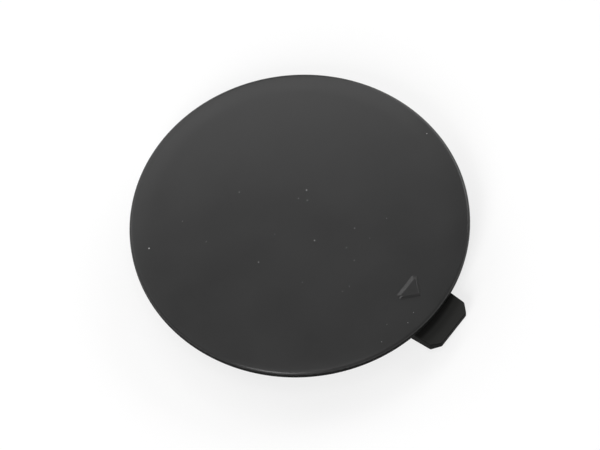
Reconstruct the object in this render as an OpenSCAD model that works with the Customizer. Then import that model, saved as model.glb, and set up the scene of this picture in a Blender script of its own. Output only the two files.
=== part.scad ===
// Round snap-in cover for the towing eye opening in a car bumper, moulded in one piece.
// A shallow domed disc closes the opening and lies on the seat around it. Behind the disc
// a slotted collar with two snap fingers drops through the opening, and a hooked tongue
// reaches under the bumper skin. A raised arrowhead on the face marks the tongue's side.
// The disc's axis is Z with the face up, the seat under the rim is z = 0, and the tongue
// points along +X. All sizes are in millimetres.

/* [Face disc] */
// Diameter of the disc at its widest line
disc_d = 72; // [64:0.5:90]
// Thickness of the moulded wall behind the face
face_wall = 2.3; // [1.8:0.1:2.8]
// Radius of the shallow dome over the face
dome_radius = 500; // [300:10:800]
// Radius of the rounder shoulder between dome and edge
shoulder_radius = 40; // [25:1:60]
// Width of the shoulder, from its start to the edge of the disc
shoulder_w = 5; // [3:0.5:7]
// Radius of the rounded upper edge
edge_radius = 0.8; // [0.5:0.1:1.5]
// Height of the straight side below the rounded edge
rim_side_h = 1; // [0.7:0.1:2]
// Bevel along the lower edge of the rim
rim_bevel = 0.3; // [0.1:0.1:0.5]

/* [Bumper opening] */
// Width of the seat ring that the rim of the disc covers
seat_w = 4; // [3.5:0.5:6]
// Thickness of the bumper skin round the opening
panel_t = 2.2; // [2:0.1:3.2]
// Gap all round between the collar and the opening
hole_clearance = 0.5; // [0.3:0.1:1]
// Gap between the skin and the catch of each finger
snap_clearance = 0.2; // [0.1:0.05:0.5]
// Gap between the skin and the tongue, which is tilted in first
tongue_clearance = 0.4; // [0.2:0.1:0.9]

/* [Collar and fingers] */
// Depth of the collar below the seat
collar_depth = 7; // [6.8:0.1:9]
// Wall of the collar
collar_wall = 1.5; // [1.2:0.1:2]
// Bevel on the corners of the collar's lower rim
collar_bevel = 0.3; // [0.1:0.1:0.4]
// Angle from the tongue round to each snap finger
finger_angle = 120; // [100:5:135]
// Width of a snap finger, measured round the collar
finger_w = 12; // [8:0.5:16]
// Width of the slot on each side of a finger
slot_w = 1.4; // [1:0.1:2.5]
// Solid height left between the seat and the top of a slot
slot_root_h = 0.8; // [0.5:0.1:1.2]
// How far the catch grips past the edge of the opening
catch_grip = 1.4; // [0.8:0.1:1.6]
// How far the catch stays back from each side of its finger
catch_inset = 1; // [0.5:0.1:2]
// Fall of the catch ledge, so that the cover can be pried out
catch_fall = 0.5; // [0:0.1:0.8]
// Height of the catch's upright nose
catch_nose_h = 0.6; // [0.4:0.1:1]
// Height between the end of the lead-in and the tip of the finger
tip_h = 0.4; // [0.2:0.1:0.6]

/* [Tongue] */
// How far the tongue reaches past the edge of the disc
tongue_reach = 3.85; // [2:0.05:6]
// Width of the tongue at its root
tongue_w = 12.8; // [10:0.1:20]
// Width of the tongue where its corners are cut off
tongue_tip_w = 12.2; // [9:0.1:19]
// Size of the cut corners at the tip
tongue_corner = 1.7; // [0.5:0.1:3]
// Thickness of the tongue
tongue_t = 2.5; // [1.8:0.1:2.8]
// Downward slope of the tongue, in degrees
tongue_slope = 4.5; // [0:0.5:10]
// Distance from the collar to the outer face of the tongue's riser
riser_step = 1.3; // [0.8:0.1:1.8]
// Radius in the corner between riser and tongue
bend_radius = 0.5; // [0.2:0.1:1]
// Length of the thinned lead-in under the tip
tip_lead = 2; // [1:0.1:3]
// Thickness left at the end of the lead-in
tip_t = 1.6; // [1:0.1:2]

/* [Stiffening ribs] */
// Middle diameter of the ring rib
ring_d = 24; // [16:1:36]
// Number of straight ribs from the ring to the collar
rib_count = 6; // [3:1:8]
// Angle from the tongue to the first straight rib
rib_angle = 30; // [0:5:60]
// Thickness of a rib where it meets the face wall
rib_t = 1.2; // [0.8:0.1:1.6]
// Thickness of a rib along its lower edge
rib_edge_t = 0.9; // [0.6:0.1:1.2]
// Depth of the ribs below the seat
rib_depth = 1.5; // [1:0.1:2.5]
// Diameter of the ejector pads on the ribs
pad_d = 4; // [3:0.5:6]
// Diameter of the circle on which the pads lie
pad_circle_d = 42; // [34:1:50]

/* [Arrow mark] */
// Distance from the disc's edge to the point of the arrowhead
mark_edge_gap = 4.5; // [4:0.05:12]
// Length of the arrowhead from base to point
mark_l = 4.15; // [3:0.05:6]
// Width of the arrowhead across its base, before its base corners are cut off
mark_w = 8.1; // [6:0.1:10]
// Size of the cut corners at the foot
mark_foot_corner = 1.2; // [0.8:0.1:1.8]
// Size of the cut corners on the flat top
mark_top_corner = 0.4; // [0.2:0.1:0.7]
// Height of the arrowhead above the face
mark_h = 0.45; // [0.3:0.05:0.6]
// Run of the sloping side along the base
mark_base_run = 0.8; // [0.4:0.05:1]
// Run of the sloping sides that meet at the point
mark_side_run = 0.35; // [0.2:0.05:0.5]

/* [Hidden] */

PLASTIC = [0.21, 0.21, 0.215];
$fn = 180;
// Number of straight steps in which the face outline takes each of its curves
DOME_STEPS = 20;
SHOULDER_STEPS = 8;
EDGE_STEPS = 8;
BEND_STEPS = 5;
// Fineness of a circle as large as the dome's
BALL_FACETS = 720;
// Length by which a cutting shape reaches past what it cuts, or a joined shape into its neighbour
OVERLAP = 0.5;

disc_r = disc_d / 2;

// The dome, the shoulder and the edge meet without a crease, so the centres of their
// arcs follow from each other, starting at the edge.
edge_x = disc_r - edge_radius;
shoulder_start = disc_r - shoulder_w;
dome_angle = asin(shoulder_start / dome_radius);
shoulder_x = shoulder_start * (1 - shoulder_radius / dome_radius);
shoulder_angle = asin((edge_x - shoulder_x) / (shoulder_radius - edge_radius));
shoulder_z = rim_side_h - (shoulder_radius - edge_radius) * cos(shoulder_angle);
dome_z = shoulder_z - (dome_radius - shoulder_radius) * cos(dome_angle);

// The collar stands clear inside the opening.
hole_r = disc_r - seat_w;
collar_r = hole_r - hole_clearance;
collar_in = collar_r - collar_wall;
collar_mid = collar_r - collar_wall / 2;

// Each catch hooks under the bumper skin.
catch_z = -(panel_t + snap_clearance);
catch_r = hole_r + catch_grip;
catch_span = (finger_w - 2 * catch_inset) / collar_r * 180 / PI;
slot_offset = (finger_w + slot_w) / 2 / collar_r * 180 / PI;

// The tongue hooks under the skin on the other side.
riser_x = collar_r + riser_step;
tongue_z = -(panel_t + tongue_clearance);
tongue_tip_x = disc_r + tongue_reach;
tongue_drop = (tongue_tip_x - riser_x) * tan(tongue_slope);

// The arrowhead lies in the plane that touches the dome under the mark's middle.
mark_mid = disc_r - mark_edge_gap - mark_l / 2;
mark_tilt = asin(mark_mid / dome_radius);

// Points along an arc about [x, z], with the angle measured from upright towards +X.
function arc(x, z, r, from, to, steps) =
    [for (i = [0 : steps]) let (a = from + (to - from) * i / steps) [x + r * sin(a), z + r * cos(a)]];

// Height of the dome's surface at a distance from the axis.
function dome_height(r) = dome_z + sqrt(pow(dome_radius, 2) - pow(r, 2));

// Half of the disc's section, from the seat up to the face.
module disc_section() {
    polygon(concat(
        [[0, 0]],
        arc(0, dome_z, dome_radius, 0, dome_angle, DOME_STEPS),
        arc(shoulder_x, shoulder_z, shoulder_radius, dome_angle, shoulder_angle, SHOULDER_STEPS),
        arc(edge_x, rim_side_h, edge_radius, shoulder_angle, 90, EDGE_STEPS),
        [[disc_r, rim_bevel], [disc_r - rim_bevel, 0]]
    ));
}

// Half of the hollow that leaves an even wall behind the dome.
module hollow_section() {
    intersection() {
        translate([0, dome_z]) circle(r = dome_radius - face_wall, $fn = BALL_FACETS);
        translate([0, -OVERLAP]) square([collar_in, dome_height(0) + OVERLAP]);
    }
}

// Half of the collar's section, rooted in the disc.
module collar_section() {
    polygon([
        [collar_in, OVERLAP],
        [collar_in, collar_bevel - collar_depth],
        [collar_in + collar_bevel, -collar_depth],
        [collar_r - collar_bevel, -collar_depth],
        [collar_r, collar_bevel - collar_depth],
        [collar_r, OVERLAP]
    ]);
}

module disc_and_collar() {
    rotate_extrude() {
        difference() {
            disc_section();
            hollow_section();
        }
        collar_section();
    }
}

// A slot through the collar, open at the lower rim and round at the top.
module finger_slot() {
    round_z = -slot_root_h - slot_w / 2;
    translate([collar_in - OVERLAP, 0, 0]) rotate([90, 0, 90])
        linear_extrude(collar_wall + 2 * OVERLAP) {
            translate([0, round_z]) circle(d = slot_w);
            translate([-slot_w / 2, -collar_depth - OVERLAP])
                square([slot_w, collar_depth + OVERLAP + round_z]);
        }
}

module finger_slots() {
    for (side = [-1, 1], edge = [-1, 1])
        rotate([0, 0, side * finger_angle + edge * slot_offset]) finger_slot();
}

// The catch: a ledge under the bumper skin, an upright nose and a long lead-in.
module finger_catch() {
    nose_z = catch_z - catch_fall;
    rotate([0, 0, -catch_span / 2])
        rotate_extrude(angle = catch_span)
            polygon([
                [collar_mid, catch_z],
                [collar_r, catch_z],
                [catch_r, nose_z],
                [catch_r, nose_z - catch_nose_h],
                [collar_r, tip_h - collar_depth],
                [collar_mid, tip_h - collar_depth]
            ]);
}

module finger_catches() {
    for (side = [-1, 1])
        rotate([0, 0, side * finger_angle]) finger_catch();
}

// Side view of the tongue: an upright riser, a bend and a blade with a thinned tip.
module tongue_side() {
    blade_z = tongue_z - tongue_drop;
    bend_x = riser_x + bend_radius;
    bend_z = tongue_z - bend_radius * tan(tongue_slope) + bend_radius / cos(tongue_slope);
    polygon(concat(
        [[collar_mid, OVERLAP], [riser_x, OVERLAP]],
        arc(bend_x, bend_z, bend_radius, 270, 180 - tongue_slope, BEND_STEPS),
        [
            [tongue_tip_x, blade_z],
            [tongue_tip_x, blade_z - tip_t],
            [tongue_tip_x - tip_lead, blade_z + tip_lead * tan(tongue_slope) - tongue_t],
            [collar_mid, tongue_z - tongue_t]
        ]
    ));
}

// Plan of the tongue: slightly narrower towards the tip, with both corners cut off.
module tongue_plan() {
    root = tongue_w / 2;
    shoulder = tongue_tip_w / 2;
    tip = shoulder - tongue_corner;
    polygon([
        [collar_in, -root],
        [riser_x, -root],
        [tongue_tip_x - tongue_corner, -shoulder],
        [tongue_tip_x, -tip],
        [tongue_tip_x, tip],
        [tongue_tip_x - tongue_corner, shoulder],
        [riser_x, root],
        [collar_in, root]
    ]);
}

module tongue() {
    intersection() {
        translate([0, tongue_w, 0]) rotate([90, 0, 0]) linear_extrude(2 * tongue_w) tongue_side();
        translate([0, 0, -collar_depth]) linear_extrude(collar_depth + 2 * OVERLAP) tongue_plan();
    }
}

// Section of a rib, wider where it meets the wall so that it leaves the mould.
module rib_section() {
    polygon([
        [-rib_edge_t / 2, -rib_depth],
        [rib_edge_t / 2, -rib_depth],
        [rib_t / 2, 0],
        [rib_t / 2, dome_height(0)],
        [-rib_t / 2, dome_height(0)],
        [-rib_t / 2, 0]
    ]);
}

module straight_rib() {
    rotate([90, 0, 90]) translate([0, 0, ring_d / 2]) linear_extrude(collar_mid - ring_d / 2) rib_section();
}

module ejector_pad() {
    translate([pad_circle_d / 2, 0, -rib_depth]) cylinder(d = pad_d, h = rib_depth + dome_height(0));
}

// The ribs and pads end halfway into the wall behind the face.
module ribs() {
    intersection() {
        union() {
            rotate_extrude() translate([ring_d / 2, 0]) rib_section();
            for (i = [0 : rib_count - 1])
                rotate([0, 0, rib_angle + i * 360 / rib_count]) {
                    straight_rib();
                    if (i % 2 == 0) ejector_pad();
                }
        }
        translate([0, 0, dome_z]) sphere(r = dome_radius - face_wall / 2, $fn = BALL_FACETS);
    }
}

// One outline of the arrowhead in its own plane: base at x = 0 and point towards +X.
// The base stands back by base_run and the sides by side_run from the full outline, and
// both base corners are cut off.
function arrow_outline(base_run, side_run, corner) =
    let (
        side_l = sqrt(pow(mark_l, 2) + pow(mark_w / 2, 2)),
        tip = mark_l - side_run * side_l / (mark_w / 2),
        half = (tip - base_run) * mark_w / 2 / mark_l,
        cut_x = base_run + corner * mark_l / side_l,
        cut_y = half - corner * mark_w / 2 / side_l
    )
    [[base_run, corner - half], [cut_x, -cut_y], [tip, 0], [cut_x, cut_y], [base_run, half - corner]];

// The arrowhead: a flat top with sloping sides, sunk a little into the face.
module arrow_mark() {
    sink = mark_h;
    spread = (mark_h + sink) / mark_h;
    low_corner = mark_top_corner + (mark_foot_corner - mark_top_corner) * spread;
    lower = arrow_outline(mark_base_run * (1 - spread), mark_side_run * (1 - spread), low_corner);
    upper = arrow_outline(mark_base_run, mark_side_run, mark_top_corner);
    translate([mark_mid, 0, dome_height(mark_mid)]) rotate([0, mark_tilt, 0]) translate([-mark_l / 2, 0, 0])
        polyhedron(
            points = concat([for (p = lower) [p.x, p.y, -sink]], [for (p = upper) [p.x, p.y, mark_h]]),
            faces = concat(
                [[0, 1, 2, 3, 4], [9, 8, 7, 6, 5]],
                [for (i = [0 : 4]) [i, i + 5, (i + 1) % 5 + 5, (i + 1) % 5]]
            )
        );
}

module cover() {
    color(PLASTIC) {
        difference() {
            disc_and_collar();
            finger_slots();
        }
        finger_catches();
        tongue();
        ribs();
        arrow_mark();
    }
}

cover();
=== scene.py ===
"""The looks of a tow hook cover: a round dark moulding with a raised arrowhead and a hooked tongue.

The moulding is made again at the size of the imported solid, with the small radii that a mould leaves.
Its face carries a satin primer and the rest is bare black plastic. Dust grains lie on the face.
"""

import contextlib
import math

import bmesh
import bpy
from mathutils import Matrix, Vector

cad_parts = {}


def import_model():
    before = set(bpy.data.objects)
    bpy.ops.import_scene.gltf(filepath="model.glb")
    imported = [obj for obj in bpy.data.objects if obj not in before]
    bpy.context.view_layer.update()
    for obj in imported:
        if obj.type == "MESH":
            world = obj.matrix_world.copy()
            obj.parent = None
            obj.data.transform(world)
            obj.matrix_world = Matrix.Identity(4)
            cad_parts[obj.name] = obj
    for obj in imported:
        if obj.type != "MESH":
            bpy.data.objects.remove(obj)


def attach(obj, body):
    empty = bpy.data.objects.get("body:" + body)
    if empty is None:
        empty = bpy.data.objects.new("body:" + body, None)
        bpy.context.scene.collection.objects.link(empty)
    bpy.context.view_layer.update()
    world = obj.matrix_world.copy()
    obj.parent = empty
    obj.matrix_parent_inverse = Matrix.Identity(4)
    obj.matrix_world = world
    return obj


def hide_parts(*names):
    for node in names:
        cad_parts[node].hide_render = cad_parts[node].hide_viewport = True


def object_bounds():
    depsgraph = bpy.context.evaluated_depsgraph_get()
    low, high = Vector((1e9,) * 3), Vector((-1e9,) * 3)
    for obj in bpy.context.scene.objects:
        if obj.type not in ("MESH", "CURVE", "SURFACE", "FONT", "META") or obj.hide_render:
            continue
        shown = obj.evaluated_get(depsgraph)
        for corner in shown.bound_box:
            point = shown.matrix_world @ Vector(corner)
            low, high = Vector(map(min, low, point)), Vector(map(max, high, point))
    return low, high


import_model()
cad_low, cad_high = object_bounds()

MM = 0.001
BODY = "root"
CAD_NODE = "cover"

# Disc
DISC_R = 36 * MM
FACE_WALL = 2.3 * MM
DOME_RADIUS = 500 * MM
SHOULDER_RADIUS = 40 * MM
SHOULDER_W = 5 * MM
EDGE_RADIUS = 0.8 * MM
RIM_SIDE_H = 1 * MM
RIM_CORNER = 0.3 * MM

# Collar and fingers
COLLAR_R = DISC_R - 4.5 * MM
COLLAR_WALL = 1.5 * MM
COLLAR_IN = COLLAR_R - COLLAR_WALL
COLLAR_MID = COLLAR_R - COLLAR_WALL / 2
COLLAR_BOTTOM = -7 * MM
COLLAR_CORNER = 0.35 * MM
ROOT_FILLET = 0.25 * MM
CEILING_FILLET = 0.5 * MM
CEILING_INSET = 3 * MM
FINGER_ANGLE = math.radians(120)
FINGER_W = 12 * MM
SLOT_W = 1.4 * MM
SLOT_ROOT_H = 0.8 * MM
CATCH_Z = -2.4 * MM
CATCH_R = 33.4 * MM
CATCH_FALL = 0.5 * MM
CATCH_NOSE_H = 0.6 * MM
CATCH_INSET = 1 * MM
CATCH_EDGE = 0.12 * MM
FINGER_TIP_H = 0.4 * MM

# Tongue
TONGUE_TIP_X = DISC_R + 3.85 * MM
RISER_X = COLLAR_R + 1.3 * MM
TONGUE_Z = -2.6 * MM
TONGUE_W = 12.8 * MM
TONGUE_TIP_W = 12.2 * MM
TONGUE_CORNER = 1.7 * MM
TONGUE_T = 2.5 * MM
TONGUE_SLOPE = math.tan(math.radians(4.5))
TONGUE_BEND = 0.5 * MM
TONGUE_EDGE = 0.35 * MM
TONGUE_TIP_L = 2 * MM
TONGUE_TIP_T = 1.6 * MM

# Ribs and pads
RING_R = 12 * MM
RIB_COUNT = 6
RIB_ANGLE = math.radians(30)
RIB_T = 1.2 * MM
RIB_EDGE_T = 0.9 * MM
RIB_DEPTH = 1.5 * MM
RIB_EDGE = 0.15 * MM
WALL_MID_Z = 1.3 * MM
PAD_R = 2 * MM
PAD_CIRCLE_R = 21 * MM

# Arrowhead
MARK_POINT_X = DISC_R - 4.5 * MM
MARK_L = 4.15 * MM
MARK_W = 8.1 * MM
MARK_H = 0.45 * MM
MARK_BASE_RUN = 0.8 * MM
MARK_SIDE_RUN = 0.35 * MM
MARK_FOOT_CORNER = 1.2 * MM
MARK_TOP_CORNER = 0.4 * MM
MARK_EDGE = 0.15 * MM

# Fineness of the curves
SEGMENTS = 288
DOME_STEPS = 18
SHOULDER_STEPS = 10
EDGE_STEPS = 10
CEILING_STEPS = 14
CORNER_STEPS = 5
SLOT_TOP_STEPS = 12
CATCH_STEPS = 14
PAD_POINTS = 48

# Making of the meshes
OVERLAP = 0.5 * MM
SMOOTH_ANGLE = math.radians(20)
# Points this near each other are merged, and points this near a cut count as on it
MERGE = 0.002 * MM
CUT_REACH = 0.0001 * MM
# The two axes of an outline, then the axis along which it is drawn out
ALONG_X = (1, 2, 0)
ALONG_Y = (0, 2, 1)
ALONG_Z = (0, 1, 2)

# Dust on the face: place in millimetres from the axis, and the grain's size in millimetres
DUST = [
    (-2.7, 6.4, 0.26), (-14.2, -2.0, 0.18), (-2.9, 3.8, 0.17), (-1.1, 4.5, 0.17), (11.0, 4.8, 0.16),
    (-2.0, -6.0, 0.14), (5.8, -2.4, 0.24), (12.3, 0.1, 0.14), (-22.2, -23.3, 0.34), (15.4, -1.4, 0.14),
    (-0.9, -13.2, 0.22), (32.5, -4.0, 0.14), (32.9, -6.6, 0.15), (29.6, -9.5, 0.12), (31.0, -13.3, 0.13),
    (9.9, 32.4, 0.22), (-20.1, -14.3, 0.12), (-13.0, -15.4, 0.11), (15.0, 4.7, 0.11), (15.1, 10.6, 0.11),
    (17.6, -8.7, 0.11), (18.1, -6.9, 0.11), (9.5, -11.8, 0.11),
]
DUST_SEED = 7
DUST_FLATNESS = 0.45

# Finishes
PRIMER = (0.03, 0.03, 0.03)
PRIMER_LINE_Z = (1.33 * MM, 1.55 * MM)
PRIMER_WAVER = 0.3 * MM
PRIMER_CLOUDS = (0.94, 1.06)
BARE_PLASTIC = (0.031, 0.031, 0.03)
# Tones of the bare plastic: its painted shade at the rim and the tongue, and how far the tongue's flats
# are lifted out of it at root and tip
PAINTED_SHADE_TONE = 0.35
ROOT_SHADE_LIFT = 0.43
TIP_SHADE_LIFT = 0.22
# Distances from the axis over which the bare plastic's painted shade gives way behind the face and lifts
# on the tongue
BEHIND_SHINE_R = (COLLAR_R, COLLAR_R - 1 * MM)
BEHIND_UNSHADED_R = (DISC_R - 1.5 * MM, CATCH_R)
ROOT_SHADE_LIFT_R = (DISC_R - 0.1 * MM, DISC_R + 0.6 * MM)
TIP_SHADE_LIFT_R = (DISC_R + 1.3 * MM, DISC_R + 2.4 * MM)
# Upright part of a face's normal, from where it begins to count as a flat to where it does in full;
# upright walls keep the painted shade
FLAT_UPRIGHT = (0.5, 0.9)
# Specular levels of the bare and of the primed plastic, and the roughness of both
SHINE = (0.006, 0.27)
ROUGHNESS = (0.28, 0.32)
GRAIN_DEPTH = 0.004 * MM
# Noise values over which clouds go from dark to light
CLOUD_SPAN = (0.3, 0.7)

# Camera, at the photograph's viewing angle through a long lens
IMAGE_W, IMAGE_H = 600, 450
CAMERA_AZIMUTH = math.radians(41.72)
CAMERA_ELEVATION = math.radians(61.69)
CAMERA_ROLL = math.radians(6.34)
CAMERA_DISTANCE = 1.2
CLIP_START, CLIP_END = 0.01, 20
SENSOR_W = 36
PIXELS_PER_METRE = 4738
# Pixel on which the disc's axis lies at the height of the rim
DISC_PIXEL = (299.56, 223.35)

# Lamps: azimuth from the camera's and elevation in degrees, width and height in metres, and brightness
LAMPS = {
    "front_strip": (-23, 36, 0.38, 0.9, 13.0),
    "left_softbox": (-90, 63, 0.6, 0.6, 0.5),
    "side_left_softbox": (-115, 45, 0.6, 0.5, 1.0),
    "top_softbox": (0, 82, 0.6, 0.6, 1.9),
    "back_softbox": (180, 47, 0.67, 0.47, 2.7),
    "back_left_softbox": (-144, 47, 0.67, 0.47, 1.45),
    "low_left_strip": (-140, 27, 1.3, 0.5, 2.9),
    "low_right_strip": (140, 27, 1.3, 0.5, 5.5),
    "under_softbox": (180, -80, 0.9, 0.9, 5.5),
    "under_side_softbox": (150, -62, 0.4, 0.4, 7.0),
}
LAMP_DISTANCE = 1.5
WORLD_BRIGHTNESS = 0.12

FLOOR_W = 2.6
# Share of the floor's look that is even white, which keeps the shadow light
FLOOR_GLOW = 0.72


# Outlines and heights

def arc(centre, radius, start, end, steps):
    """Points along an arc in the X-Z plane, with the angles measured from upright towards +X."""
    x, z = centre
    angles = [start + (end - start) * i / steps for i in range(steps + 1)]
    return [(x + radius * math.sin(a), z + radius * math.cos(a)) for a in angles]


def rounded(corners):
    """A line of straight stretches through (x, z, radius) corners, with an arc at each radius."""
    points = []
    for i, (x, z, radius) in enumerate(corners):
        here = Vector((x, z))
        if radius == 0:
            points.append((x, z))
            continue
        back = (Vector(corners[i - 1][:2]) - here).normalized()
        ahead = (Vector(corners[(i + 1) % len(corners)][:2]) - here).normalized()
        half = back.angle(ahead) / 2
        centre = here + (back + ahead).normalized() * (radius / math.sin(half))
        start = here + back * (radius / math.tan(half)) - centre
        end = here + ahead * (radius / math.tan(half)) - centre
        sweep = math.atan2(start.x * end.y - start.y * end.x, start.dot(end))
        for step in range(CORNER_STEPS + 1):
            points.append(tuple(centre + Matrix.Rotation(sweep * step / CORNER_STEPS, 2) @ start))
    return points


# The dome, the shoulder and the edge touch without a crease.
EDGE_X = DISC_R - EDGE_RADIUS
SHOULDER_START = DISC_R - SHOULDER_W
DOME_ANGLE = math.asin(SHOULDER_START / DOME_RADIUS)
SHOULDER_X = SHOULDER_START * (1 - SHOULDER_RADIUS / DOME_RADIUS)
SHOULDER_ANGLE = math.asin((EDGE_X - SHOULDER_X) / (SHOULDER_RADIUS - EDGE_RADIUS))
SHOULDER_Z = RIM_SIDE_H - (SHOULDER_RADIUS - EDGE_RADIUS) * math.cos(SHOULDER_ANGLE)
DOME_Z = SHOULDER_Z - (DOME_RADIUS - SHOULDER_RADIUS) * math.cos(DOME_ANGLE)


def face_height(r):
    """Height of the face at a distance from the axis."""
    if r < SHOULDER_START:
        return DOME_Z + math.sqrt(DOME_RADIUS ** 2 - r ** 2)
    return SHOULDER_Z + math.sqrt(SHOULDER_RADIUS ** 2 - (r - SHOULDER_X) ** 2)


def ceiling_height(r):
    """Height of the wall's inner side, under the dome, at a distance from the axis."""
    return DOME_Z + math.sqrt((DOME_RADIUS - FACE_WALL) ** 2 - r ** 2)


# Nodes

def add_node(tree, kind, inputs=(), **settings):
    """A node with its settings, and with each input set to a value or linked from a socket."""
    node = tree.nodes.new(kind)
    for key, value in settings.items():
        setattr(node, key, value)
    for key, value in dict(inputs).items():
        if isinstance(value, bpy.types.NodeSocket):
            tree.links.new(value, node.inputs[key])
        else:
            node.inputs[key].default_value = value
    return node


def maths(tree, operation, *values):
    """The result of an operation on one to three numbers."""
    return add_node(tree, "ShaderNodeMath", enumerate(values), operation=operation).outputs[0]


def ramp(tree, value, span, result=(0.0, 1.0)):
    """A number that goes from the first to the second result while a value goes over a span."""
    limits = {"From Min": span[0], "From Max": span[1], "To Min": result[0], "To Max": result[1]}
    return add_node(tree, "ShaderNodeMapRange", {"Value": value, **limits}).outputs[0]


# Geometry Nodes trees

def new_tree(name, inputs):
    """An empty Geometry Nodes tree with named inputs, and its input and output nodes."""
    tree = bpy.data.node_groups.new(name, "GeometryNodeTree")
    tree.interface.new_socket("Geometry", in_out="INPUT", socket_type="NodeSocketGeometry")
    for label, kind in inputs.items():
        tree.interface.new_socket(label, in_out="INPUT", socket_type=kind)
    tree.interface.new_socket("Geometry", in_out="OUTPUT", socket_type="NodeSocketGeometry")
    return tree, tree.nodes.new("NodeGroupInput"), tree.nodes.new("NodeGroupOutput")


def finish_tree(tree, geometry, group_in, group_out):
    """Ends a tree in real geometry with its material."""
    real = add_node(tree, "GeometryNodeRealizeInstances", {"Geometry": geometry})
    dressed = add_node(tree, "GeometryNodeSetMaterial",
                       {"Geometry": real.outputs[0], "Material": group_in.outputs["Material"]})
    tree.links.new(dressed.outputs[0], group_out.inputs[0])
    return tree


def lathe_tree():
    """Turns a section, whose points lie in order in the X-Z plane, round the Z axis."""
    tree, group_in, group_out = new_tree("turned_section", {
        "Segments": "NodeSocketInt",
        "Merge": "NodeSocketFloat",
        "Material": "NodeSocketMaterial",
    })
    section = group_in.outputs["Geometry"]
    segments = group_in.outputs["Segments"]
    size = add_node(tree, "GeometryNodeAttributeDomainSize", {"Geometry": section})
    columns = maths(tree, "ADD", segments, 1.0)
    grid = add_node(tree, "GeometryNodeMeshGrid",
                    {"Vertices X": size.outputs["Point Count"], "Vertices Y": columns})

    # Each row of the grid takes one point of the section, and each column turns it further.
    index = add_node(tree, "GeometryNodeInputIndex").outputs[0]
    row = maths(tree, "FLOOR", maths(tree, "DIVIDE", index, columns))
    column = maths(tree, "MODULO", index, columns)
    place = add_node(tree, "GeometryNodeInputPosition").outputs[0]
    point = add_node(tree, "GeometryNodeSampleIndex",
                     {"Geometry": section, "Value": place, "Index": row},
                     data_type="FLOAT_VECTOR", domain="POINT")
    angle = maths(tree, "MULTIPLY", maths(tree, "DIVIDE", column, segments), math.tau)
    turned_point = add_node(tree, "ShaderNodeVectorRotate",
                            {"Vector": point.outputs[0], "Angle": angle}, rotation_type="Z_AXIS")
    placed = add_node(tree, "GeometryNodeSetPosition",
                      {"Geometry": grid.outputs["Mesh"], "Position": turned_point.outputs[0]})
    closed = add_node(tree, "GeometryNodeMergeByDistance",
                      {"Geometry": placed.outputs[0], "Distance": group_in.outputs["Merge"]})
    return finish_tree(tree, closed.outputs[0], group_in, group_out)


def ring_tree():
    """Repeats a piece round the Z axis, from a first angle and by equal steps."""
    tree, group_in, group_out = new_tree("ring_of_copies", {
        "Count": "NodeSocketInt",
        "First Angle": "NodeSocketFloat",
        "Step Angle": "NodeSocketFloat",
        "Material": "NodeSocketMaterial",
    })
    points = add_node(tree, "GeometryNodeMeshLine",
                      {"Count": group_in.outputs["Count"], "Offset": (0, 0, 0)})
    index = add_node(tree, "GeometryNodeInputIndex").outputs[0]
    angle = maths(tree, "MULTIPLY_ADD", index,
                  group_in.outputs["Step Angle"], group_in.outputs["First Angle"])
    spin = add_node(tree, "ShaderNodeCombineXYZ", {"Z": angle})
    copies = add_node(tree, "GeometryNodeInstanceOnPoints", {
        "Points": points.outputs[0],
        "Instance": group_in.outputs["Geometry"],
        "Rotation": spin.outputs[0],
    })
    return finish_tree(tree, copies.outputs[0], group_in, group_out)


def grain_tree():
    """Lays a lumpy grain on each point, at the point's own size and turned at random."""
    tree, group_in, group_out = new_tree("dust_grains", {
        "Seed": "NodeSocketInt",
        "Flatness": "NodeSocketFloat",
        "Material": "NodeSocketMaterial",
    })
    grain = add_node(tree, "GeometryNodeMeshIcoSphere", {"Radius": 0.5, "Subdivisions": 2})
    lump = add_node(tree, "ShaderNodeTexNoise", {"Scale": 1.7})
    centred = add_node(tree, "ShaderNodeVectorMath",
                       {0: lump.outputs["Color"], 1: (0.5, 0.5, 0.5)}, operation="SUBTRACT")
    shape = add_node(tree, "GeometryNodeSetPosition",
                     {"Geometry": grain.outputs[0], "Offset": centred.outputs[0]})
    size = add_node(tree, "GeometryNodeInputNamedAttribute", {"Name": "size"}, data_type="FLOAT")
    width = size.outputs[0]
    height = maths(tree, "MULTIPLY", width, group_in.outputs["Flatness"])
    scale = add_node(tree, "ShaderNodeCombineXYZ", {"X": width, "Y": width, "Z": height})
    spin = add_node(tree, "FunctionNodeRandomValue",
                    {1: (0, 0, math.tau), "Seed": group_in.outputs["Seed"]}, data_type="FLOAT_VECTOR")
    copies = add_node(tree, "GeometryNodeInstanceOnPoints", {
        "Points": group_in.outputs["Geometry"],
        "Instance": shape.outputs[0],
        "Rotation": spin.outputs[0],
        "Scale": scale.outputs[0],
    })
    return finish_tree(tree, copies.outputs[0], group_in, group_out)


# Meshes

def new_object(name, data):
    """An object in the scene that holds a mesh, a lamp or a camera."""
    piece = bpy.data.objects.new(name, data)
    bpy.context.scene.collection.objects.link(piece)
    return piece


def closed_object(name, mesh):
    """Points a closed mesh's faces outwards and makes it an object."""
    bmesh.ops.recalc_face_normals(mesh, faces=mesh.faces)
    data = bpy.data.meshes.new(name)
    mesh.to_mesh(data)
    mesh.free()
    return new_object(name, data)


@contextlib.contextmanager
def opened(piece):
    """A piece's mesh, open for changes that go back into the piece."""
    mesh = bmesh.new()
    mesh.from_mesh(piece.data)
    yield mesh
    mesh.to_mesh(piece.data)
    mesh.free()


def plain_mesh(piece):
    """Turns a piece and its modifiers into a plain mesh."""
    bpy.context.view_layer.update()
    mesh = bpy.data.meshes.new_from_object(piece.evaluated_get(bpy.context.evaluated_depsgraph_get()))
    piece.modifiers.clear()
    piece.data = mesh
    return piece


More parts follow.
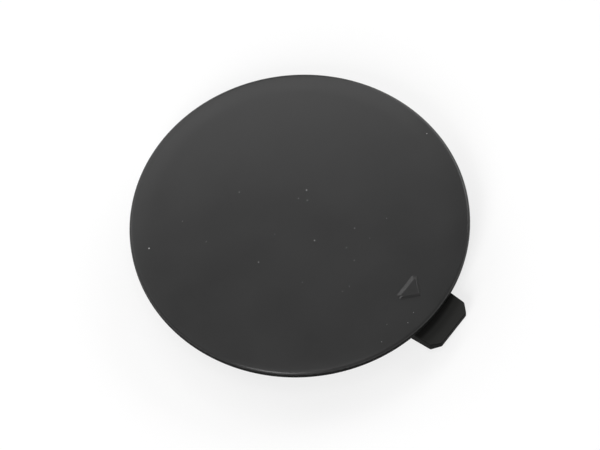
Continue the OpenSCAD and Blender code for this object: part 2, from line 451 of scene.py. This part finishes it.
def run_tree(piece, tree, **values):
    """Runs a tree on a piece, with its named inputs set, and keeps the result as a plain mesh."""
    modifier = piece.modifiers.new(tree.name, "NODES")
    modifier.node_group = tree
    inputs = [item for item in tree.interface.items_tree if item.in_out == "INPUT"]
    sockets = {item.name: item.identifier for item in inputs}
    for label, value in values.items():
        modifier[sockets[label.replace("_", " ")]] = value
    return plain_mesh(piece)


def lofted(name, lower, lower_depth, upper, upper_depth, axes=ALONG_Z):
    """A solid between two outlines of as many points, in two axes and apart along the third."""
    u, v, w = axes
    mesh = bmesh.new()
    ends = []
    for outline, depth in ((lower, lower_depth), (upper, upper_depth)):
        ring = []
        for a, b in outline:
            place = [0, 0, 0]
            place[u], place[v], place[w] = a, b, depth
            ring.append(mesh.verts.new(place))
        ends.append(ring)
    mesh.faces.new(ends[0])
    mesh.faces.new(ends[1])
    for i in range(len(lower)):
        j = (i + 1) % len(lower)
        mesh.faces.new((ends[0][i], ends[0][j], ends[1][j], ends[1][i]))
    return closed_object(name, mesh)


def prism(name, outline, axes, start, end):
    """A straight solid: an outline in two axes, drawn out along the third from start to end."""
    return lofted(name, outline, start, outline, end, axes)


def swept(name, section, angles):
    """A solid with one section in the X-Z plane, turned round Z through a list of angles."""
    mesh = bmesh.new()
    rings = []
    for angle in angles:
        turn = Matrix.Rotation(angle, 3, "Z")
        rings.append([mesh.verts.new(turn @ Vector((x, 0, z))) for x, z in section])
    count = len(section)
    for near, far in zip(rings, rings[1:]):
        for i in range(count):
            j = (i + 1) % count
            mesh.faces.new((near[i], near[j], far[j], far[i]))
    mesh.faces.new(rings[0])
    mesh.faces.new(rings[-1])
    return closed_object(name, mesh)


def turned(name, section, lathe, material):
    """A solid of revolution from a section's points."""
    data = bpy.data.meshes.new(name)
    data.from_pydata([(x, 0, z) for x, z in section], [(i, i + 1) for i in range(len(section) - 1)], [])
    piece = run_tree(new_object(name, data), lathe, Segments=SEGMENTS, Merge=MERGE, Material=material)
    with opened(piece) as mesh:
        bmesh.ops.recalc_face_normals(mesh, faces=mesh.faces)
    return piece


def trimmed(piece, start, end, side):
    """Cuts a solid along an upright plane through two points and closes it.

    Side 1 takes away what is left of the way from start to end, and side -1 what is right of it.
    """
    start, end = Vector(start), Vector(end)
    outward = Vector((0, 0, side)).cross(end - start)
    with opened(piece) as mesh:
        everything = mesh.verts[:] + mesh.edges[:] + mesh.faces[:]
        cut = bmesh.ops.bisect_plane(mesh, geom=everything, dist=CUT_REACH,
                                     plane_co=start, plane_no=outward, clear_outer=True)
        rim = [item for item in cut["geom_cut"] if isinstance(item, bmesh.types.BMEdge)]
        bmesh.ops.contextual_create(mesh, geom=rim)
        bmesh.ops.recalc_face_normals(mesh, faces=mesh.faces)


def softened(piece, width, segments):
    """Rounds the sharp edges of a solid."""
    bevel = piece.modifiers.new("softened", "BEVEL")
    bevel.width = width
    bevel.segments = segments
    bevel.limit_method = "ANGLE"
    bevel.angle_limit = SMOOTH_ANGLE
    return plain_mesh(piece)


def combined(piece, other, operation):
    """Joins one solid with another or cuts it with that one, which is then gone."""
    boolean = piece.modifiers.new(operation.lower(), "BOOLEAN")
    boolean.operation = operation
    boolean.object = other
    boolean.solver = "MANIFOLD"
    plain_mesh(piece)
    bpy.data.objects.remove(other)
    return piece


def welded(piece):
    """Merges the points that cuts and joins left all but on each other."""
    with opened(piece) as mesh:
        bmesh.ops.remove_doubles(mesh, verts=mesh.verts, dist=MERGE)


def finished_surface(piece):
    """Smooth shading with the true creases kept, led by the large faces."""
    piece.data.shade_smooth()
    piece.data.set_sharp_from_angle(angle=SMOOTH_ANGLE)
    weighted = piece.modifiers.new("weighted", "WEIGHTED_NORMAL")
    weighted.keep_sharp = True
    return plain_mesh(piece)


# Pieces of the moulding

def disc_and_collar(lathe, material):
    """The disc with its collar, turned as one section from the top of the dome to its hollow side."""
    dome = arc((0, DOME_Z), DOME_RADIUS, 0, DOME_ANGLE, DOME_STEPS)
    shoulder = arc((SHOULDER_X, SHOULDER_Z), SHOULDER_RADIUS, DOME_ANGLE, SHOULDER_ANGLE, SHOULDER_STEPS)
    edge = arc((EDGE_X, RIM_SIDE_H), EDGE_RADIUS, SHOULDER_ANGLE, math.pi / 2, EDGE_STEPS)
    ceiling_r = COLLAR_IN - CEILING_INSET
    lower = rounded([
        (DISC_R, RIM_SIDE_H, 0),
        (DISC_R, 0, RIM_CORNER),
        (COLLAR_R, 0, ROOT_FILLET),
        (COLLAR_R, COLLAR_BOTTOM, COLLAR_CORNER),
        (COLLAR_IN, COLLAR_BOTTOM, COLLAR_CORNER),
        (COLLAR_IN, ceiling_height(COLLAR_IN), CEILING_FILLET),
        (ceiling_r, ceiling_height(ceiling_r), 0),
    ])[1:]
    inward = [ceiling_r * (1 - i / CEILING_STEPS) for i in range(1, CEILING_STEPS + 1)]
    ceiling = [(r, ceiling_height(r)) for r in inward]
    section = dome[:-1] + shoulder[:-1] + edge + lower + ceiling
    return turned("cover_moulding", section, lathe, material)


def on_both_fingers(piece, ring, material):
    """Repeats a piece at the two snap fingers."""
    return run_tree(piece, ring, Count=2, First_Angle=FINGER_ANGLE,
                    Step_Angle=math.tau - 2 * FINGER_ANGLE, Material=material)


def finger_slots(ring, material):
    """Cutters for the slots on both sides of each snap finger, round at the top."""
    radius = SLOT_W / 2
    round_z = -SLOT_ROOT_H - radius
    turns = [math.pi * i / SLOT_TOP_STEPS for i in range(SLOT_TOP_STEPS + 1)]
    top = [(radius * math.cos(a), round_z + radius * math.sin(a)) for a in turns]
    bottom = [(-radius, COLLAR_BOTTOM - OVERLAP), (radius, COLLAR_BOTTOM - OVERLAP)]
    slot = prism("finger_slots", top + bottom, ALONG_X, COLLAR_IN - OVERLAP, COLLAR_R + OVERLAP)
    offset = (FINGER_W + SLOT_W) / 2 / COLLAR_R
    run_tree(slot, ring, Count=2, First_Angle=-offset, Step_Angle=2 * offset, Material=material)
    return on_both_fingers(slot, ring, material)


def finger_catches(ring, material):
    """The catch on each snap finger: a ledge, an upright nose and a long lead-in."""
    nose_z = CATCH_Z - CATCH_FALL
    section = [
        (COLLAR_MID, CATCH_Z),
        (COLLAR_R, CATCH_Z),
        (CATCH_R, nose_z),
        (CATCH_R, nose_z - CATCH_NOSE_H),
        (COLLAR_R, COLLAR_BOTTOM + FINGER_TIP_H),
        (COLLAR_MID, COLLAR_BOTTOM + FINGER_TIP_H),
    ]
    span = (FINGER_W - 2 * CATCH_INSET) / COLLAR_R
    angles = [span * (i / CATCH_STEPS - 0.5) for i in range(CATCH_STEPS + 1)]
    catch = swept("finger_catches", section, angles)
    softened(catch, CATCH_EDGE, segments=2)
    return on_both_fingers(catch, ring, material)


def tongue():
    """The tongue: an upright riser, a bend and a sloping blade with a thinned tip and cut corners."""
    blade_z = TONGUE_Z - (TONGUE_TIP_X - RISER_X) * TONGUE_SLOPE
    side = rounded([
        (COLLAR_MID, OVERLAP, 0),
        (RISER_X, OVERLAP, 0),
        (RISER_X, TONGUE_Z, TONGUE_BEND),
        (TONGUE_TIP_X, blade_z, 0),
        (TONGUE_TIP_X, blade_z - TONGUE_TIP_T, 0),
        (TONGUE_TIP_X - TONGUE_TIP_L, blade_z + TONGUE_TIP_L * TONGUE_SLOPE - TONGUE_T, 0),
        (COLLAR_MID, TONGUE_Z - TONGUE_T, 0),
    ])
    root, wide = TONGUE_W / 2, TONGUE_TIP_W / 2
    corner_x = TONGUE_TIP_X - TONGUE_CORNER
    blade = prism("tongue", side, ALONG_Y, -root, root)
    for mirror in (1, -1):
        corner = (corner_x, wide * mirror, 0)
        trimmed(blade, (RISER_X, root * mirror, 0), corner, mirror)
        trimmed(blade, corner, (TONGUE_TIP_X, (wide - TONGUE_CORNER) * mirror, 0), mirror)
    return softened(blade, TONGUE_EDGE, segments=4)


def rib_section():
    """A rib's section, thinner at its free edge and sunk into the wall."""
    return [(-RIB_EDGE_T / 2, -RIB_DEPTH), (RIB_EDGE_T / 2, -RIB_DEPTH), (RIB_T / 2, 0),
            (RIB_T / 2, WALL_MID_Z), (-RIB_T / 2, WALL_MID_Z), (-RIB_T / 2, 0)]


def ring_rib(lathe, material):
    """The round rib behind the face."""
    section = [(RING_R + x, z) for x, z in rib_section()]
    rib = turned("ring_rib", section + section[:1], lathe, material)
    return softened(rib, RIB_EDGE, segments=2)


def straight_ribs(ring, material):
    """The ribs from the round rib out to the collar."""
    rib = prism("straight_ribs", rib_section(), ALONG_X, RING_R, COLLAR_MID)
    softened(rib, RIB_EDGE, segments=2)
    return run_tree(rib, ring, Count=RIB_COUNT, First_Angle=RIB_ANGLE,
                    Step_Angle=math.tau / RIB_COUNT, Material=material)


def ejector_pads(ring, material):
    """The round pads on every second rib, where the mould's pins push."""
    turns = [math.tau * i / PAD_POINTS for i in range(PAD_POINTS)]
    circle = [(PAD_CIRCLE_R + PAD_R * math.cos(a), PAD_R * math.sin(a)) for a in turns]
    pad = prism("ejector_pads", circle, ALONG_Z, -RIB_DEPTH, WALL_MID_Z)
    softened(pad, RIB_EDGE, segments=2)
    return run_tree(pad, ring, Count=RIB_COUNT // 2, First_Angle=RIB_ANGLE,
                    Step_Angle=2 * math.tau / RIB_COUNT, Material=material)


def arrow_outline(base_run, side_run, corner):
    """The arrowhead's outline, drawn in from its foot by the runs of its sides, with cut base corners."""
    side_l = math.hypot(MARK_L, MARK_W / 2)
    tip = MARK_L - side_run * side_l / (MARK_W / 2)
    half = (tip - base_run) * MARK_W / 2 / MARK_L
    along = (corner * MARK_L / side_l, corner * MARK_W / 2 / side_l)
    left = [(base_run, half - corner), (base_run + along[0], half - along[1])]
    return [(x, -y) for x, y in left] + [(tip, 0)] + left[::-1]


def arrowhead():
    """The raised arrowhead: a flat top with sloping sides, sunk a little into the dome."""
    lower = arrow_outline(-MARK_BASE_RUN, -MARK_SIDE_RUN, 2 * MARK_FOOT_CORNER - MARK_TOP_CORNER)
    upper = arrow_outline(MARK_BASE_RUN, MARK_SIDE_RUN, MARK_TOP_CORNER)
    mark = lofted("arrowhead", lower, -MARK_H, upper, MARK_H)
    softened(mark, MARK_EDGE, segments=3)
    middle = MARK_POINT_X - MARK_L / 2
    foot = Vector((middle, 0, face_height(middle)))
    tilt = math.asin(middle / DOME_RADIUS)
    seat = Matrix.Translation(foot) @ Matrix.Rotation(tilt, 4, "Y")
    mark.data.transform(seat @ Matrix.Translation((-MARK_L / 2, 0, 0)))
    return mark


def moulding(lathe, ring, material):
    """The whole cover as one solid."""
    cover = disc_and_collar(lathe, material)
    combined(cover, finger_slots(ring, material), "DIFFERENCE")
    parts = [
        finger_catches(ring, material),
        tongue(),
        ring_rib(lathe, material),
        straight_ribs(ring, material),
        ejector_pads(ring, material),
        arrowhead(),
    ]
    for part in parts:
        combined(cover, part, "UNION")
    welded(cover)
    cover.data.materials.clear()
    cover.data.materials.append(material)
    cover.data.polygons.foreach_set("material_index", [0] * len(cover.data.polygons))
    return finished_surface(cover)


def dust(grains, material):
    """The grains of dust that lie on the face."""
    data = bpy.data.meshes.new("dust_specks")
    places = [(x * MM, y * MM, face_height(math.hypot(x, y) * MM)) for x, y, _ in DUST]
    data.from_pydata(places, [], [])
    sizes = data.attributes.new("size", "FLOAT", "POINT")
    sizes.data.foreach_set("value", [size * MM for _, _, size in DUST])
    return run_tree(new_object("dust_specks", data), grains,
                    Seed=DUST_SEED, Flatness=DUST_FLATNESS, Material=material)


# Materials

def new_material(name):
    """A material, its tree and the shader of its surface."""
    material = bpy.data.materials.new(name)
    material.use_nodes = True
    tree = material.node_tree
    return material, tree, tree.nodes["Principled BSDF"]


def noise(tree, place, scale, detail):
    """A soft random pattern from 0 to 1."""
    texture = add_node(tree, "ShaderNodeTexNoise", {"Vector": place, "Scale": scale, "Detail": detail})
    return texture.outputs["Fac"]


def axis_distance(tree, place):
    """The distance of a place from the Z axis."""
    flat = add_node(tree, "ShaderNodeVectorMath", {0: place, 1: (1, 1, 0)}, operation="MULTIPLY")
    length = add_node(tree, "ShaderNodeVectorMath", {0: flat.outputs[0]}, operation="LENGTH")
    return length.outputs["Value"]


def toned(tree, colour, tone):
    """A colour times a tone."""
    scaled = add_node(tree, "ShaderNodeVectorMath", {0: colour, "Scale": tone}, operation="SCALE")
    return scaled.outputs[0]


def blended(tree, share, first, second):
    """Two shaders mixed, with the second one's share."""
    return add_node(tree, "ShaderNodeMixShader", {0: share, 1: first, 2: second}).outputs[0]


def cover_plastic():
    """Satin dark primer on the face and its rounded edge, and bare black plastic elsewhere, with painted
    shade at the rim and the tongue.
    """
    material, tree, surface = new_material("primed_plastic")
    coordinates = add_node(tree, "ShaderNodeTexCoord").outputs
    place = coordinates["Object"]

    # The primer ends in a soft, grainy line low on the rounded edge, above the side of the rim.
    height = add_node(tree, "ShaderNodeSeparateXYZ", {0: place}).outputs["Z"]
    spray = noise(tree, place, scale=1500, detail=3)
    wavering = maths(tree, "MULTIPLY_ADD", spray, PRIMER_WAVER, height)
    primed = ramp(tree, wavering, PRIMER_LINE_Z)

    # Slight clouds in the primer.
    clouds = noise(tree, place, scale=90, detail=4)
    primer = toned(tree, PRIMER, ramp(tree, clouds, CLOUD_SPAN, PRIMER_CLOUDS))

    # The bare plastic carries painted shade: deep black at the rim's side and under the rim, and at the
    # tongue's root under the disc's overhang. It keeps its full tone behind the face. On the tongue's
    # flats the painted shade lifts towards the tip, while the tongue's upright walls stay in the painted
    # shade.
    reach = axis_distance(tree, place)
    inward = ramp(tree, reach, BEHIND_UNSHADED_R)
    root = ramp(tree, reach, ROOT_SHADE_LIFT_R, (0, ROOT_SHADE_LIFT))
    tip = ramp(tree, reach, TIP_SHADE_LIFT_R, (0, TIP_SHADE_LIFT))
    outward = maths(tree, "ADD", root, tip)
    upright = add_node(tree, "ShaderNodeSeparateXYZ", {0: coordinates["Normal"]}).outputs["Z"]
    lit_flats = ramp(tree, maths(tree, "ABSOLUTE", upright), FLAT_UPRIGHT)
    # Only the flats are lifted out of the painted shade, so the tongue's walls stay darker.
    lifted_shade = maths(tree, "MULTIPLY_ADD", outward, lit_flats, PAINTED_SHADE_TONE)
    bare = toned(tree, BARE_PLASTIC, maths(tree, "MAXIMUM", inward, lifted_shade))
    colour = add_node(tree, "ShaderNodeMix", {"Factor": primed, 6: bare, 7: primer}, data_type="RGBA")
    tree.links.new(colour.outputs[2], surface.inputs["Base Color"])

    # The primer and the smooth side behind the face shine, and the rim's side and the tongue are dull.
    polish = maths(tree, "MAXIMUM", primed, ramp(tree, reach, BEHIND_SHINE_R))
    tree.links.new(ramp(tree, polish, (0, 1), SHINE), surface.inputs["Specular IOR Level"])
    tree.links.new(ramp(tree, clouds, CLOUD_SPAN, ROUGHNESS), surface.inputs["Roughness"])

    # A fine grain everywhere, with a wider ripple under it.
    grain = noise(tree, place, scale=5200, detail=2)
    ripple = noise(tree, place, scale=700, detail=1)
    relief = maths(tree, "MULTIPLY_ADD", ripple, 3.0, grain)
    bump = add_node(tree, "ShaderNodeBump",
                    {"Strength": 0.15, "Distance": GRAIN_DEPTH, "Height": relief})
    tree.links.new(bump.outputs[0], surface.inputs["Normal"])
    return material


def dust_material():
    """Matt, pale and mottled."""
    material, tree, surface = new_material("pale_dust")
    place = add_node(tree, "ShaderNodeTexCoord").outputs["Object"]
    mottle = noise(tree, place, scale=8000, detail=2)
    tree.links.new(ramp(tree, mottle, (0, 1), (0.25, 0.5)), surface.inputs["Base Color"])
    surface.inputs["Roughness"].default_value = 0.9
    return material


def floor_material():
    """White and matt, with a light shadow. It is clear to a camera below it and to the lamps there."""
    material, tree, surface = new_material("white_floor")
    surface.inputs["Base Color"].default_value = (0.86, 0.86, 0.86, 1)
    surface.inputs["Roughness"].default_value = 0.9
    surface.inputs["Specular IOR Level"].default_value = 0.0
    lit = add_node(tree, "ShaderNodeBsdfDiffuse", {"Color": (1, 1, 1, 1)}).outputs[0]
    glow = add_node(tree, "ShaderNodeEmission", {"Color": (1, 1, 1, 1), "Strength": 1.0}).outputs[0]

    # The floor shut in by the collar has no glow, so that the slots look dark.
    reach = axis_distance(tree, add_node(tree, "ShaderNodeTexCoord").outputs["Object"])
    white = blended(tree, ramp(tree, reach, (COLLAR_IN, COLLAR_R), (0, FLOOR_GLOW)), lit, glow)

    # A camera and a mirror image see the even white, and other light meets plain matt paper.
    rays = add_node(tree, "ShaderNodeLightPath").outputs
    mirrored = maths(tree, "MAXIMUM", rays["Is Glossy Ray"], rays["Is Transmission Ray"])
    seen = maths(tree, "MAXIMUM", rays["Is Camera Ray"], mirrored)
    paper = blended(tree, seen, surface.outputs[0], white)

    # A camera below sees through, and so does light on its way from a lamp.
    from_below = add_node(tree, "ShaderNodeNewGeometry").outputs["Backfacing"]
    seen_below = maths(tree, "MULTIPLY", rays["Is Camera Ray"], from_below)
    passed = maths(tree, "MAXIMUM", seen_below, rays["Is Shadow Ray"])
    clear = add_node(tree, "ShaderNodeBsdfTransparent").outputs[0]
    tree.links.new(blended(tree, passed, paper, clear), tree.nodes["Material Output"].inputs["Surface"])
    return material


# Stage

def floor():
    """A wide floor at the height of the part's lowest point."""
    half = FLOOR_W / 2
    z = cad_low.z
    corners = [(-half, -half, z), (half, -half, z), (half, half, z), (-half, half, z)]
    data = bpy.data.meshes.new("floor")
    data.from_pydata(corners, [], [(0, 1, 2, 3)])
    data.materials.append(floor_material())
    plane = new_object("floor", data)


def direction(azimuth, elevation):
    """The way from the object to a camera or lamp. Azimuth 0 is on the -Y side, looking along +Y."""
    level = math.cos(elevation)
    return Vector((math.sin(azimuth) * level, -math.cos(azimuth) * level, math.sin(elevation)))


def lamp(name, azimuth, elevation, width, height, brightness):
    """A soft box of even brightness that faces the object, at an azimuth counted from the camera's."""
    data = bpy.data.lights.new(name, "AREA")
    data.shape = "RECTANGLE"
    data.size = width
    data.size_y = height
    data.energy = math.pi * width * height * brightness
    light = new_object(name, data)
    way = direction(CAMERA_AZIMUTH + math.radians(azimuth), math.radians(elevation))
    light.location = way * LAMP_DISTANCE
    light.rotation_euler = way.to_track_quat("Z", "Y").to_euler()


def world():
    """A dim, even white all round."""
    sky = bpy.data.worlds.new("studio")
    sky.use_nodes = True
    background = sky.node_tree.nodes["Background"].inputs
    background["Color"].default_value = (1, 1, 1, 1)
    background["Strength"].default_value = WORLD_BRIGHTNESS
    bpy.context.scene.world = sky


def camera():
    """A long lens at the photograph's angle, turned so that the disc leans as it does there."""
    back = direction(CAMERA_AZIMUTH, CAMERA_ELEVATION)
    level_right = Vector((math.cos(CAMERA_AZIMUTH), math.sin(CAMERA_AZIMUTH), 0))
    level_up = back.cross(level_right)
    right = math.cos(CAMERA_ROLL) * level_right - math.sin(CAMERA_ROLL) * level_up
    up = math.sin(CAMERA_ROLL) * level_right + math.cos(CAMERA_ROLL) * level_up
    aside = (IMAGE_W / 2 - DISC_PIXEL[0]) / PIXELS_PER_METRE
    below = (IMAGE_H / 2 - DISC_PIXEL[1]) / PIXELS_PER_METRE
    aim = Vector((0, 0, RIM_SIDE_H)) + right * aside - up * below
    data = bpy.data.cameras.new("camera")
    data.sensor_width = SENSOR_W
    data.lens = PIXELS_PER_METRE * CAMERA_DISTANCE * SENSOR_W / IMAGE_W
    data.clip_start = CLIP_START
    data.clip_end = CLIP_END
    view = new_object("camera", data)
    turn = Matrix((right, up, back)).transposed().to_4x4()
    view.matrix_world = Matrix.Translation(aim + back * CAMERA_DISTANCE) @ turn
    bpy.context.scene.camera = view


# The whole scene

camera()
world()
floor()
for name, setting in LAMPS.items():
    lamp(name, *setting)

plastic = cover_plastic()
lathe, ring = lathe_tree(), ring_tree()
cover = moulding(lathe, ring, plastic)
specks = dust(grain_tree(), dust_material())
for piece in (cover, specks):
    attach(piece, BODY)
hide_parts(CAD_NODE)

bpy.context.scene.view_settings.view_transform = "Standard"
